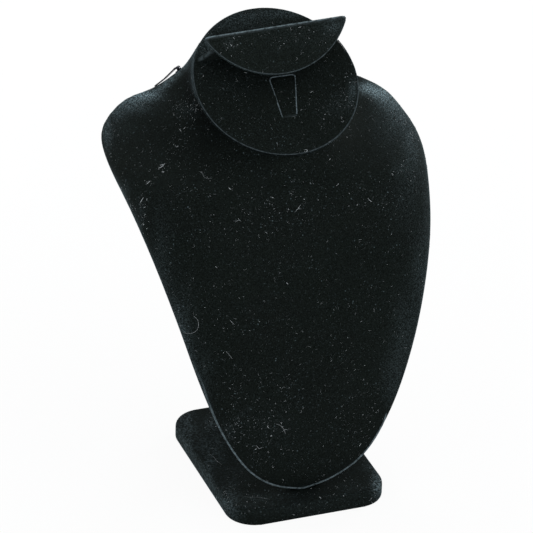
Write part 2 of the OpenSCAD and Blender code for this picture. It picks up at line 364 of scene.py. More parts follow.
# Settings that come back: a product, a product and a sum kept within 0 and 1, the larger
# value, a soft step from one value to another, and a mix of two colours at places 6 and 7
TIMES = {"operation": "MULTIPLY"}
TIMES_PLUS = {"operation": "MULTIPLY_ADD", "use_clamp": True}
LARGER = {"operation": "MAXIMUM"}
STEP = {"interpolation_type": "SMOOTHSTEP"}
COLOURS = {"data_type": "RGBA", "out": 2}


def new_material(name):
    material = bpy.data.materials.new(name)
    material.use_nodes = True
    tree = material.node_tree
    tree.nodes.clear()
    return material, tree


def flock_material(name, seed, tone=1.0, dust_and_sheen_grain=0.8 * MM):
    """Nylon flock on glue: upright fibres half a millimetre long, so it drinks light head-on,
    glows where it is seen along the fibres, and shows the glue's grey where it is rubbed."""
    look = bpy.context.scene.stand_flock
    material, tree = new_material(name)
    place = node(tree, "TexCoord", out="Object")
    place = node(tree, "Mapping", place, (seed * 0.37, seed * 0.11, 0))
    # Fibre ends, drawn about 0.8 mm apart so that they show at this distance
    nap = node(tree, "TexNoise", place, Scale=1 / (0.8 * MM), Detail=2.0)
    # Brushed patches a few centimetres across
    patch = node(tree, "TexNoise", place, Scale=1 / (38 * MM), Detail=3.0)
    # Flecks of dust: dots of about 0.8 mm in cells of 2.7 mm, and of 0.4 mm in cells of 1.5 mm,
    # drawn coarse enough to show and bent out of round
    bent = node(tree, "TexNoise", place, Scale=1 / (3 * MM), out="Color")
    bent = node(tree, "VectorMath", bent, (1.6 * MM,) * 3, place, operation="MULTIPLY_ADD")
    flecks = 0.0
    for cell, share in ((2.7 * MM, 0.13), (1.5 * MM, 0.11)):
        dots = node(tree, "TexVoronoi", bent, Scale=1 / cell)
        dot = node(tree, "MapRange", dots, share * 1.6, share * 0.6, **STEP)
        pick = node(tree, "SeparateColor", dots.node.outputs["Color"])
        pick = node(tree, "MapRange", pick, 0.35, 1.0, **STEP)
        flecks = node(tree, "Math", dot, pick, flecks, **TIMES_PLUS)
    # The flecks lie thicker in some places than in others
    spread = node(tree, "TexNoise", place, Scale=1 / (22 * MM), Detail=2.0)
    spread = node(tree, "MapRange", spread, 0.3, 0.75, **STEP)
    flecks = node(tree, "Math", flecks, spread, **TIMES)
    flecks = node(tree, "Math", flecks, 0.34, **TIMES)
    # The palest fibre ends make a fine salt all over
    salt = node(tree, "TexNoise", place, Scale=1 / (1.0 * MM), Detail=2.0, Roughness=0.7)
    salt = node(tree, "MapRange", salt, 0.56, 0.86, **STEP)
    flecks = node(tree, "Math", salt, 0.11, flecks, **TIMES_PLUS)
    # Dust that has settled, and painted sheen where the flock glows at its edges and sides, broken
    # up by the fibres
    dust_and_sheen = node(tree, "Attribute", attribute_name="dust_and_sheen", out="Fac")
    grit = node(tree, "TexNoise", place, Scale=1 / dust_and_sheen_grain, Detail=3.0, Roughness=0.7)
    grit = node(tree, "MapRange", grit, 0.46, 0.7, **STEP)
    grit = node(tree, "Math", grit, 1.8, 0.08, **TIMES_PLUS)
    flecks = node(tree, "Math", dust_and_sheen, grit, flecks, **TIMES_PLUS)
    # Rubbed edges, broken up at about 2 mm
    wear = node(tree, "Attribute", attribute_name="wear", out="Fac")
    rub = node(tree, "TexNoise", place, Scale=1 / (2.2 * MM), Detail=3.0)
    rub = node(tree, "MapRange", rub, 0.15, 0.62, **STEP)
    wear = node(tree, "Math", wear, rub, **TIMES)
    dark, light = ((*(c * level * tone for c in look.pile[:3]), 1.0) for level in (0.4, 1.75))
    grain = node(tree, "MapRange", nap, 0.26, 0.74, **STEP)
    patch = node(tree, "Math", patch, 0.25, **TIMES)
    grain = node(tree, "Math", grain, 0.75, patch, **TIMES_PLUS)
    colour = node(tree, "Mix", grain, i6=dark, i7=light, **COLOURS)
    # Painted shade: where the shade attribute is set, the pile is mixed towards near black, for the
    # shadow in crevices and under overhangs
    shade = node(tree, "Attribute", attribute_name="shade", out="Fac")
    colour = node(tree, "Mix", shade, i6=colour, i7=linear("#040505"), **COLOURS)
    colour = node(tree, "Mix", flecks, i6=colour, i7=tuple(look.fleck), **COLOURS)
    colour = node(tree, "Mix", wear, i6=colour, i7=tuple(look.worn), **COLOURS)
    bump = node(tree, "Bump", Height=nap, Strength=0.5, Distance=0.35 * MM)
    shader = node(
        tree, "BsdfPrincipled", colour, Normal=bump, Roughness=0.95, IOR=1.45,
        Specular_IOR_Level=0.02, Sheen_Weight=look.sheen, Sheen_Roughness=0.2,
        Sheen_Tint=linear("#bcdfe8"),
    )
    node(tree, "OutputMaterial", shader)
    return material


def lint_material():
    """Cotton and nylon fibres that have settled on the pile: pale, matt, each of its own tone."""
    material, tree = new_material("cotton_lint")
    tone = node(tree, "Attribute", attribute_name="tone", out="Fac")
    colour = node(tree, "Mix", tone, i6=linear("#2a3334"), i7=linear("#e2e8ea"), **COLOURS)
    shader = node(tree, "BsdfPrincipled", colour, Roughness=0.8, IOR=1.5)
    node(tree, "OutputMaterial", shader)
    return material


def spring_steel_material():
    """Nickel plated spring strip, tarnished dark, with the fine scratches of handling."""
    material, tree = new_material("nickel_plated_strip")
    place = node(tree, "TexCoord", out="Object")
    # Scratches, drawn 0.5 mm apart so that they show
    scratch = node(tree, "TexNoise", place, Scale=1 / (0.5 * MM), Detail=4.0)
    bump = node(tree, "Bump", Height=scratch, Strength=0.12, Distance=0.05 * MM)
    rough = node(tree, "MapRange", scratch, 0.2, 0.9, 0.16, 0.34, **STEP)
    shader = node(
        tree, "BsdfPrincipled", linear("#2c2e33"), Metallic=1.0, Roughness=rough, Normal=bump
    )
    node(tree, "OutputMaterial", shader)
    return material


def wood_material(name, light, dark, roughness):
    """Softwood: growth rings stretched along the board, with pores and a sawn surface."""
    material, tree = new_material(name)
    place = node(tree, "TexCoord", out="Object")
    along = node(tree, "Mapping", place, Scale=(1.0, 1.0, 0.12))
    warp = node(tree, "TexNoise", along, Scale=1 / (40 * MM), Detail=2.0)
    # Rings 2.4 mm apart: this pattern makes about six to a unit
    rings = node(
        tree, "TexWave", along, Scale=1 / (6 * 2.4 * MM), Distortion=6.0, Detail=2.0,
        wave_type="RINGS", rings_direction="Z", out="Fac",
    )
    pores = node(tree, "TexNoise", along, Scale=1 / (0.6 * MM), Detail=3.0)
    warp = node(tree, "Math", warp, 0.35, **TIMES)
    share = node(tree, "Math", rings, 0.55, warp, **TIMES_PLUS)
    colour = node(tree, "Mix", share, i6=linear(light), i7=linear(dark), **COLOURS)
    share = node(tree, "MapRange", pores, 0.55, 0.8, **STEP)
    share = node(tree, "Math", share, 0.5, **TIMES)
    colour = node(tree, "Mix", share, i6=colour, i7=linear(dark), **COLOURS)
    bump = node(tree, "Bump", Height=pores, Strength=0.35, Distance=0.15 * MM)
    shader = node(
        tree, "BsdfPrincipled", colour, Roughness=roughness, Normal=bump,
        Specular_IOR_Level=0.25,
    )
    node(tree, "OutputMaterial", shader)
    return material


def screw_material():
    """Zinc plated steel, turned and tumbled: pale grey with a soft shine."""
    material, tree = new_material("zinc_plated_screw")
    place = node(tree, "TexCoord", out="Object")
    turned = node(tree, "TexNoise", place, Scale=1 / (0.4 * MM), Detail=3.0)
    tone = node(tree, "Mix", turned, i6=linear("#9b9d9e"), i7=linear("#c4c6c4"), **COLOURS)
    rough = node(tree, "MapRange", turned, 0.0, 1.0, 0.3, 0.5)
    shader = node(tree, "BsdfPrincipled", tone, Metallic=1.0, Roughness=rough)
    node(tree, "OutputMaterial", shader)
    return material


def felt_material():
    """Pressed felt: short fibres laid flat every way, matt, with pilled specks."""
    material, tree = new_material("pressed_felt")
    place = node(tree, "TexCoord", out="Object")
    fibres = node(tree, "TexNoise", place, Scale=1 / (0.9 * MM), Detail=5.0, Distortion=1.2)
    pills = node(tree, "TexVoronoi", place, Scale=1 / (4 * MM))
    pills = node(tree, "MapRange", pills, 0.12, 0.05, **STEP)
    tone = node(tree, "Mix", fibres, i6=linear("#1d2022"), i7=linear("#3a3f42"), **COLOURS)
    tone = node(tree, "Mix", pills, i6=tone, i7=linear("#54595b"), **COLOURS)
    bump = node(tree, "Bump", Height=fibres, Strength=0.6, Distance=0.3 * MM)
    shader = node(tree, "BsdfPrincipled", tone, Roughness=0.95, Normal=bump)
    node(tree, "OutputMaterial", shader)
    return material


# The ring tab, as in the CAD model: its widths at the free end and at the hinge, its length,
# how far the hinge lies below the disc's middle and to its right, and how far the tab leans
TAB_TOP = 18 * MM
TAB_HINGE = 9.8 * MM
TAB_LENGTH = 29.5 * MM
TAB_DROP = 27 * MM
TAB_SIDE = 1.6 * MM
TAB_LEAN = 3.3 * MM

# How far each skin stands out from its solid: the flock, and what smoothing took off
SHELL_FLOCK = 0.25 * MM
DISC_FLOCK = 0.3 * MM
FLAP_FLOCK = 0.2 * MM
BASE_FLOCK = 0.8 * MM

# Folds sharper than these are edges that get rubbed
SHELL_SHARP = math.radians(50)
FLAP_SHARP = math.radians(40)

# The shell's lower rim in the frame: its middle in pixels, and the turns about that, in
# degrees, between which its lip shows pale
RIM_MIDDLE = np.array((300, 300))
RIM_TURNS = (52, 156)

# The clip, as in the CAD model: the length of its straight foot and the width of its strip
CLIP_FOOT = 10 * MM
CLIP_WIDE = 3.6 * MM

# The width of the patches in which loose fibres gather
LINT_PATCH = 24 * MM

# Clusters of lint on each piece: x, y, half width and half height in pixels of the frame,
# then their number and brightness
LINT_CLUSTERS = {
    "bust": (
        (187, 109, 8, 6, 130, 1.0), (180, 128, 5, 5, 16, 1.2), (163, 166, 4, 4, 16, 1.6),
        (150, 183, 4, 4, 12, 1.4), (142, 200, 3, 4, 10, 1.6), (174, 146, 9, 9, 50, 1.2),
        (382, 94, 12, 7, 90, 1.1), (402, 113, 9, 9, 70, 1.0), (414, 140, 6, 16, 70, 0.9),
        (402, 170, 6, 4, 26, 1.2), (145, 100, 12, 5, 60, 0.8), (111, 128, 5, 10, 50, 0.7),
        (205, 176, 9, 6, 26, 1.0), (245, 205, 26, 14, 60, 0.9), (300, 200, 18, 12, 40, 1.0),
        (255, 225, 30, 10, 50, 0.8), (228, 434, 8, 12, 40, 1.0), (262, 420, 16, 14, 70, 1.1),
        (265, 445, 12, 12, 60, 1.2), (360, 360, 12, 30, 60, 0.8), (370, 420, 8, 14, 40, 0.9),
        (340, 425, 20, 12, 40, 0.8), (235, 395, 10, 16, 30, 0.9), (282, 405, 12, 14, 40, 0.9),
        (124, 188, 2, 3, 9, 1.5), (134, 206, 2.5, 4, 12, 1.3), (144, 222, 3, 10, 30, 1.2),
        (375, 195, 16, 12, 40, 0.9), (222, 320, 20, 16, 40, 0.9),
    ),
    "disc": (
        (344, 97, 8, 14, 70, 1.1), (230, 85, 18, 8, 40, 0.9), (330, 114, 10, 8, 24, 0.9),
        (250, 20, 20, 6, 30, 0.7),
    ),
    "flap": (
        (232, 44, 7, 6, 30, 1.0), (282, 37, 16, 8, 40, 0.9), (320, 36, 12, 10, 26, 0.9),
    ),
    "base": (
        (212, 423, 5, 6, 22, 1.0), (225, 495, 12, 16, 50, 1.0), (376, 484, 6, 9, 40, 1.0),
        (250, 500, 20, 8, 36, 0.8), (330, 495, 24, 8, 36, 0.8),
    ),
}

# Fibres that stand out on each piece: thickness, tone, and corners in pixels of the frame.
# The bust's first is the long hair low on its left, and the disc's last is the ring mark at
# its lower edge.
LINT_STRANDS = {
    "bust": (
        (1.5, 0.34, ((183.5, 332.5), (188, 333.4), (193, 333), (197.2, 330), (198.7, 326),
                     (198, 320), (194, 316))),
        (1.4, 0.7, ((368, 198), (370, 201), (372, 202))),
        (1.5, 0.55, ((295, 212), (298, 208.5), (300.5, 205))),
        (1.4, 0.5, ((298, 208.5), (301, 209))), (1.6, 0.9, ((329, 160), (330.5, 158.6))),
        (1.5, 0.6, ((336, 186), (339, 183.5))), (1.7, 0.8, ((271.5, 197), (273.6, 198.2))),
        (1.9, 1.0, ((303.4, 199), (304.6, 199.6))),
        (1.3, 0.5, ((235, 222), (238, 220), (241, 221))),
        (1.0, 0.25, ((199, 171), (203, 174), (204, 177.5), (208, 179), (212, 178))),
        (1.7, 0.9, ((228.8, 188), (230.6, 189.6))), (2.0, 1.0, ((286.5, 282.6), (288, 283.8))),
        (1.5, 0.6, ((215, 266), (217, 268))), (1.4, 0.5, ((230, 320), (234, 324.5))),
        (1.4, 0.42, ((226, 351), (229, 354.5), (232.5, 358.7))),
        (1.8, 0.9, ((267, 426), (269, 428))), (1.8, 0.9, ((359, 446.5), (361, 443.5))),
        (1.3, 0.5, ((256, 445), (259, 449), (262.5, 447))),
        (1.3, 0.5, ((282, 432), (285, 429), (288, 430))),
        (1.3, 0.45, ((276, 424), (280, 425), (284, 429), (285.5, 434))),
        (1.9, 0.8, ((179.5, 129), (181.5, 131.5))),
        (2.2, 0.7, ((158.5, 168.5), (162, 167), (165, 163.5))),
        (1.8, 0.7, ((160, 165.5), (163.5, 164.5))), (1.8, 0.7, ((147, 184), (150.5, 181))),
        (1.8, 0.8, ((140.5, 203), (143.5, 197.5))),
    ),
    "disc": (
        (1.5, 0.8, ((244, 72), (246.5, 73))), (1.4, 0.5, ((310, 93), (313, 91))),
        (1.6, 0.8, ((304.2, 149.8), (306.6, 149.6), (307.4, 151), (305.6, 151.9), (304.1, 150.9))),
    ),
    "flap": (
        (1.6, 0.8, ((230.4, 44), (231.6, 46.4))), (1.5, 0.7, ((298, 27.5), (301, 27))),
        (1.4, 0.7, ((228, 34.5), (231, 33.6))),
    ),
    "base": (
        (1.6, 0.8, ((319, 497), (321, 498.4))),
        (1.2, 0.16, ((209, 454), (213, 456), (216, 460.5), (222, 465))),
        (1.1, 0.06, ((242, 496), (249, 497.6), (256, 497.2), (270, 499.5))),
        (1.5, 0.6, ((292, 514), (295, 515))),
    ),
}

# Spots of dust, with painted sheen where the flock glows at its outline and sides: x, y, half width
# and half height in pixels of the frame, then strength
BUST_DUST_AND_SHEEN = (
    (188, 110, 9, 7, 0.04), (143, 95, 13, 5, 1.35), (126, 102, 11, 5, 0.45),
    (116, 111, 8, 7, 0.28), (107, 132, 4, 16, 0.3), (150, 106, 18, 10, 0.03),
    (120, 124, 16, 16, 0.04), (154, 92, 6, 4, 0.1), (160, 88.5, 4, 3, 0.42), (166, 84, 4, 3, 0.6),
    (171, 79, 4, 3, 0.5), (177, 72, 4, 4, 0.4), (184, 64, 4, 5, 0.4), (134, 107, 12, 6, 0.24),
    (368, 88, 8, 5, 1.1), (381, 93, 9, 6, 1.1), (390, 102, 10, 8, 0.42), (400, 113, 9, 12, 0.24),
    (410, 138, 7, 20, 0.15), (416, 150, 9, 40, 0.08), (405, 195, 14, 40, 0.04),
    (427, 215, 4, 50, 0.07), (400, 168, 8, 6, 0.06), (392, 122, 18, 26, 0.1),
    (420, 275, 8, 44, 0.09), (406, 335, 12, 42, 0.09), (394, 380, 11, 28, 0.08),
    (228, 432, 6, 8, 0.06), (243, 413, 3, 3, 0.05), (237, 421, 3, 4, 0.05),
    (250, 409.5, 4, 2, 0.04), (126, 190, 4, 8, 0.08), (140, 215, 5, 16, 0.06),
    (160, 262, 10, 44, 0.06), (184, 330, 11, 40, 0.06), (203, 378, 9, 30, 0.05),
    (275, 428, 26, 20, 0.015),
)
DISC_DUST_AND_SHEEN = (
    (353, 88, 4, 10, 0.18), (350, 102, 4, 9, 0.07), (334, 110, 12, 8, 0.03),
    (340, 98, 10, 8, 0.03), (236, 86, 24, 10, 0.015), (206, 47, 8, 14, 0.16),
    (225, 22, 26, 8, 0.08), (260, 14, 30, 5, 0.1), (292, 13, 20, 4, 0.12),
    (250, 70, 60, 14, 0.02), (250, 24, 40, 12, 0.04),
)
FLAP_DUST = (
    (230, 44, 6, 5, 0.06), (300, 36, 40, 14, 0.02), (206, 52, 8, 8, 0.04), (334, 25, 10, 8, 0.15),
)
BASE_DUST_AND_SHEEN = (
    (211, 423, 6, 7, 0.1), (186, 423, 10, 16, 0.13), (188, 444, 6, 12, 0.1),
    (220, 440, 10, 16, 0.06), (205, 443, 12, 16, 0.07), (216, 458, 8, 7, 0.05),
    (236, 470, 18, 14, 0.03), (228, 502, 9, 16, 0.15), (208, 474, 7, 22, 0.12),
    (258, 497, 18, 4, 0.03), (377, 484, 5, 12, 0.4), (370, 466, 8, 8, 0.07),
    (300, 508, 70, 8, 0.03), (300, 497, 50, 5, 0.02), (352, 490, 14, 10, 0.03),
)


def on_tab_plane(across, along):
    """A place on the tab, measured from the middle of its hinge, in the disc's frame."""
    return Vector((TAB_SIDE + across + TAB_LEAN * along / TAB_LENGTH, along - TAB_DROP, 0))


def rounded_line(corners, radius, parts=5):
    """A line through corners, each but the first and last cut to an arc."""
    line = [corners[0]]
    for a, b, c in zip(corners, corners[1:], corners[2:]):
        from_a, to_c = (a - b).normalized(), (c - b).normalized()
        start, end = b + from_a * radius, b + to_c * radius
        for i in range(parts + 1):
            t = i / parts
            line.append(start.lerp(b, t).lerp(b.lerp(end, t), t))
    return line + [corners[-1]]


def spaced(line, step):
    """The same line with a point at every step."""
    out = []
    for a, b in zip(line, line[1:]):
        count = max(1, round((b - a).length / step))
        out += [a.lerp(b, i / count) for i in range(count)]
    return out + [line[-1]]


def tube_into(mesh, line, up, radius, sides=6):
    """Adds a thin tube along a line to a bmesh and gives its points."""
    rings = []
    for i, p in enumerate(line):
        along = (line[min(i + 1, len(line) - 1)] - line[max(i - 1, 0)]).normalized()
        side = along.cross(up).normalized()
        rise = side.cross(along).normalized()
        size = radius(i / (len(line) - 1)) if callable(radius) else radius
        rings.append([
            mesh.verts.new(p + (side * math.cos(a) + rise * math.sin(a)) * size)
            for a in (2 * math.pi * k / sides for k in range(sides))
        ])
    for lower, upper in zip(rings, rings[1:]):
        for k in range(sides):
            after = (k + 1) % sides
            mesh.faces.new((lower[k], lower[after], upper[after], upper[k])).smooth = True
    mesh.faces.new(list(reversed(rings[0])))
    mesh.faces.new(rings[-1])
    return [v for ring in rings for v in ring]


def smoothed(line, passes):
    """A line of points evened out, its two ends kept."""
    for _ in range(passes):
        inner = [(a + b * 2 + c) / 4 for a, b, c in zip(line, line[1:], line[2:])]
        line = [line[0], *inner, line[-1]]
    return line


def edge_line(marks, order, first):
    """One smooth line along scattered edge points: in each step of order, the point that
    first puts lowest."""
    found = {}
    for p in marks:
        step = round(order(p))
        if step not in found or first(p) < first(found[step]):
            found[step] = p
    return smoothed([found[step] for step in sorted(found)], 3)


def bead(piece, line, up, radius, wear):
    """A thin rolled edge along a line, rubbed pale by wear, a number or a function of a point."""
    mesh = bmesh.new()
    mesh.from_mesh(piece.data)
    layer = mesh.verts.layers.float["wear"]
    draw = random.Random(len(line))
    line = [p + Vector([draw.uniform(-1, 1) * 0.04 * MM for _ in range(3)]) for p in line]
    for vertex in tube_into(mesh, line, up, radius):
        vertex[layer] = (wear(vertex.co) if callable(wear) else wear) * draw.uniform(0.75, 1.25)
    mesh.to_mesh(piece.data)
    mesh.free()


def frayed_cut(piece):
    """The pale core of the card, drawn up in the cut round the ring tab."""
    half_top, half_hinge = TAB_TOP / 2, TAB_HINGE / 2
    inner, low = half_top - 2.2 * MM, TAB_LENGTH - 2.1 * MM
    around = ((-half_hinge, 0), (-half_top, TAB_LENGTH), (half_top, TAB_LENGTH), (half_hinge, 0))
    # Each line's corners, then its radius, its wear and its height over the face
    lines = (
        (around, 0.45 * MM, 0.45, -0.1 * MM),
        (((-inner, low), (inner, low)), 0.3 * MM, 0.12, -1.35 * MM),
    )
    mesh = bmesh.new()
    mesh.from_mesh(piece.data)
    layer = mesh.verts.layers.float["wear"]
    jitter = random.Random(5)
    for corners, radius, wear, height in lines:
        corners = [on_tab_plane(across, along) for across, along in corners]
        line = []
        for p in spaced(rounded_line(corners, 3 * MM), 0.8 * MM):
            shift = [jitter.uniform(-1, 1) * 0.06 * MM for _ in range(2)]
            line.append(FROM_DISC @ (p + Vector((*shift, height))))
        for vertex in tube_into(mesh, line, SLOPE_OUT, radius):
            vertex[layer] = wear * jitter.uniform(0.7, 1.3)
    mesh.to_mesh(piece.data)
    mesh.free()


def voxel_piece(piece, grain, flat=None):
    """Remeshes a piece in even faces, lying flat where it is a tilted plate."""
    activate(piece)
    if flat is not None:
        # A flat face that lies right on the grid comes out uneven, so it is moved off it
        flat = Matrix.Translation((grain * 0.31, grain * 0.43, grain * 0.37)) @ flat
        piece.data.transform(flat)
    piece.data.remesh_voxel_size = grain
    piece.data.remesh_voxel_adaptivity = 0
    bpy.ops.object.voxel_remesh()
    open_all(piece)
    bpy.ops.mesh.vertices_smooth(factor=0.5, repeat=2)
    bpy.ops.object.mode_set(mode="OBJECT")
    if flat is not None:
        piece.data.transform(flat.inverted())
    piece.data.shade_smooth()


def moved(points, matrix):
    """Points taken through a matrix: TO_DISC gives right, up the slope, out of its face."""
    turn = np.array(matrix)
    return points @ turn[:3, :3].T + turn[:3, 3]


def disc_circle(radius, height, degrees):
    """Points round the disc, at a height over its face."""
    turns = [math.radians(d) for d in degrees]
    return [FROM_DISC @ Vector((radius * math.cos(a), radius * math.sin(a), height)) for a in turns]


class STAND_OT_bust_shell(Operator):
    """Smooths the moulded chest shell and marks its rubbed edges"""

    bl_idname = "stand.bust_shell"
    bl_label = "Bust shell"

    def execute(self, context):
        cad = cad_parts["bust_shell"]
        piece = copy_of("bust_shell", "flocked_bust")
        open_all(piece)
        bpy.ops.mesh.tris_convert_to_quads(
            face_threshold=math.radians(30), shape_threshold=math.radians(60)
        )
        bpy.ops.mesh.select_all(action="DESELECT")
        bpy.ops.mesh.select_mode(type="EDGE")
        bpy.ops.mesh.edges_select_sharp(sharpness=SHELL_SHARP)
        bpy.ops.transform.edge_crease(value=0.45)
        bpy.ops.mesh.select_mode(type="VERT")
        bpy.ops.object.mode_set(mode="OBJECT")
        subdivision = piece.modifiers.new("Even", "SUBSURF")
        subdivision.levels = context.scene.stand_mesh.shell_levels
        subdivision.render_levels = subdivision.levels
        apply_modifiers(piece)
        piece.data.shade_smooth()
        swell(piece, SHELL_FLOCK)
        points = points_of(piece)
        normals = normals_of(piece)
        # The edges are rubbed low down, and most at the left, but not on the hollow's ledge
        near = nearness(points, sharp_edge_points(cad.data, SHELL_SHARP, 0.6 * MM), 1.8 * MM)
        low = np.clip((115 * MM - points[:, 2]) / (50 * MM), 0, 1)
        left = np.clip(0.5 - points[:, 0] / (80 * MM), 0.12, 1)
        front = (points[:, 1] < 60 * MM) & (normals[:, 1] < 0.35)
        wear = near * (0.02 + (0.2 + 0.2 * left) * low) * front
        paint(piece, "wear", np.clip(wear, 0, 1))
        # Dust, with painted sheen along the outline of the shoulders and neck and down the sides
        paint(piece, "dust_and_sheen", soft_spots(piece, BUST_DUST_AND_SHEEN, 0.2))
        # Painted shade: the neck is darkened where the disc overhangs it
        circle = disc_circle(DISC_RADIUS, -2 * MM, range(146, 186, 4))
        paint(piece, "shade", np.clip(nearness(points, circle, 40 * MM) * 2.0, 0, 1) * 0.95)
        # The lower rim is rubbed pale along its lip: a bead is laid through the mean of the three
        # outermost points in each step of the turn, and moved a little out from the shell
        at = pixels_of(points) - RIM_MIDDLE
        turn = np.degrees(np.arctan2(at[:, 1], at[:, 0]))
        toward = (camera_view()[0] - Vector((0, 0, 50 * MM))).normalized()
        facing = normals @ np.array(toward)
        rim_turn = (turn > RIM_TURNS[0]) & (turn < RIM_TURNS[1])
        far = {}
        for i in np.nonzero(rim_turn & (points[:, 1] < 30 * MM) & (facing > 0.35))[0]:
            far.setdefault(round(turn[i] * 1.5), []).append((-np.hypot(*at[i]), i))
        outer = [[i for _, i in sorted(far[step])[:3]] for step in sorted(far)]
        rim = []
        for p in smoothed([Vector(points[three].mean(axis=0)) for three in outer], 16):
            outward = Vector((p.x, 0, p.z - 160 * MM)).normalized()
            rim.append(p + (toward * 0.35 + outward * 0.5) * MM)
        bead(piece, rim, toward, 0.6 * MM,
             lambda p: 0.42 * min(1, max(0, (130 * MM - p.z) / (60 * MM))))
        piece.data.materials.append(flock_material("nylon_flock_on_moulding", 1))
        seat(piece, "velvet", "bust_shell")
        return {"FINISHED"}


class STAND_OT_neck_disc(Operator):
    """Rounds the covered disc, presses its ring tab down and marks the cut edges"""

    bl_idname = "stand.neck_disc"
    bl_label = "Neck disc"

    def execute(self, context):
        sizes = context.scene.stand_mesh
        piece = copy_of("neck_disc", "flocked_disc")
        voxel_piece(piece, sizes.disc_grain, TO_DISC)
        swell(piece, DISC_FLOCK)
        flat = moved(points_of(piece), TO_DISC)
        rim = np.hypot(flat[:, 0], flat[:, 1])
        top = flat[:, 2] > -1.2 * MM
        edge = np.clip(1.2 - np.abs(rim - (DISC_RADIUS - 0.1 * MM)) / (0.75 * MM), 0, 1)
        wear = edge * 0.03 * top
        # Painted shade on the disc's side wall, below its upper face near the rim
        under = np.clip((-0.5 * MM - flat[:, 2]) / (0.5 * MM), 0, 0.85)
        shade = (rim > DISC_RADIUS - 1 * MM) * under
        # Only the tab lies between the cuts, and it dips towards its free end
        along = flat[:, 1] + TAB_DROP
        across = flat[:, 0] - TAB_SIDE - TAB_LEAN * along / TAB_LENGTH
        half = TAB_HINGE / 2 + (TAB_TOP - TAB_HINGE) / 2 * along / TAB_LENGTH
        on_tab = (along > 0) & (along < TAB_LENGTH) & (np.abs(across) < half)
        flat[:, 2] -= on_tab * sizes.tab_dip * np.clip(along / TAB_LENGTH, 0, 1) ** 2
        hinge = (np.abs(across) < TAB_HINGE / 2) * np.clip(1 - np.abs(along) / (0.9 * MM), 0, 1)
        wear = np.maximum(wear, hinge * 0.07 * top)
        set_points(piece, moved(flat, FROM_DISC))
        paint(piece, "wear", np.clip(wear, 0, 1))
        paint(piece, "shade", shade)
        # Dust, with painted sheen on the disc behind the flap and at its right edge
        paint(piece, "dust_and_sheen", soft_spots(piece, DISC_DUST_AND_SHEEN))
        piece.data.materials.append(flock_material("nylon_flock_on_card", 2))
        frayed_cut(piece)
        line = disc_circle(DISC_RADIUS + 0.1 * MM, 0, range(-205, 26, 2))
        bead(piece, line, SLOPE_OUT, 0.36 * MM, 0.17)
        seat(piece, "velvet", "neck_disc")
        return {"FINISHED"}


class STAND_OT_earring_flap(Operator):
    """Rounds the folded earring flap and marks its rubbed fold and edges"""

    bl_idname = "stand.earring_flap"
    bl_label = "Earring flap"

    def execute(self, context):
        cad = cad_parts["earring_flap"]
        piece = copy_of("earring_flap", "flocked_flap")
        voxel_piece(piece, context.scene.stand_mesh.flap_grain, TO_DISC)
        swell(piece, FLAP_FLOCK)
        flat = moved(points_of(piece), TO_DISC)
        marks = [TO_DISC @ p for p in sharp_edge_points(cad.data, FLAP_SHARP, 0.4 * MM)]
        fold = [p for p in marks if p.y > 20 * MM and p.z > 25 * MM]
        arc = [p for p in marks if p.z > 18 * MM and p.y < 22 * MM]
        side = [p for p in marks if 3 * MM < p.z < 26 * MM and 19 * MM < p.y < 21.5 * MM
                and abs(p.x) > 31 * MM]
        # Each edge, how far its wear reaches, and how strong it is
        rubbed = ((fold, 1.8 * MM, 0.16), (arc, 0.9 * MM, 0.03), (side, 2.6 * MM, 0.2))
        wear = np.max([nearness(flat, near, reach) * rub for near, reach, rub in rubbed], axis=0)

        # The card has warped, a little more towards its right end
        def warp(x, z):
            return (0.55 + 0.9 * x / (50 * MM)) * MM * np.clip(z / (26 * MM), 0, 1)

        flat[:, 2] += warp(flat[:, 0], flat[:, 2])
        set_points(piece, moved(flat, FROM_DISC))
        paint(piece, "wear", np.clip(wear, 0, 1))
        paint(piece, "dust_and_sheen", soft_spots(piece, FLAP_DUST))
        for found, first, radius, rub in (
            (fold, lambda p: -p.y - p.z, 0.5 * MM, 0.5),
            (arc, lambda p: p.y - p.z, 0.36 * MM, 0.17),
        ):
            line = edge_line(found, lambda p: p.x / MM, first)
            line = [FROM_DISC @ (p + Vector((0, 0, 0.1 * MM + warp(p.x, p.z)))) for p in line]
            bead(piece, line, SLOPE_OUT, radius, rub)
        piece.data.materials.append(flock_material("nylon_flock_on_folded_card", 3, 1.2))
        seat(piece, "velvet", "earring_flap")
        return {"FINISHED"}


class STAND_OT_base(Operator):
    """Rounds the covered base board, lays its dust with painted sheen, and paints shade on its top
    """

    bl_idname = "stand.base"
    bl_label = "Base board"

    def execute(self, context):
        piece = copy_of("base_board", "flocked_base")
        voxel_piece(piece, context.scene.stand_mesh.base_grain)
        swell(piece, BASE_FLOCK)
        points = points_of(piece)
        points[:, 2] = np.maximum(points[:, 2], 0)
        set_points(piece, points)
        # Painted shade: the faces that look up are darkened a little
        paint(piece, "shade", np.clip(normals_of(piece)[:, 2], 0, 1) ** 2 * 0.15)
        # Dust, with painted sheen on the base's sides and corners
        paint(piece, "dust_and_sheen", soft_spots(piece, BASE_DUST_AND_SHEEN, 0.08))
        piece.data.materials.append(flock_material("nylon_flock_on_board", 4, 0.95, 1.3 * MM))
        seat(piece, "velvet", "base_board")
        return {"FINISHED"}


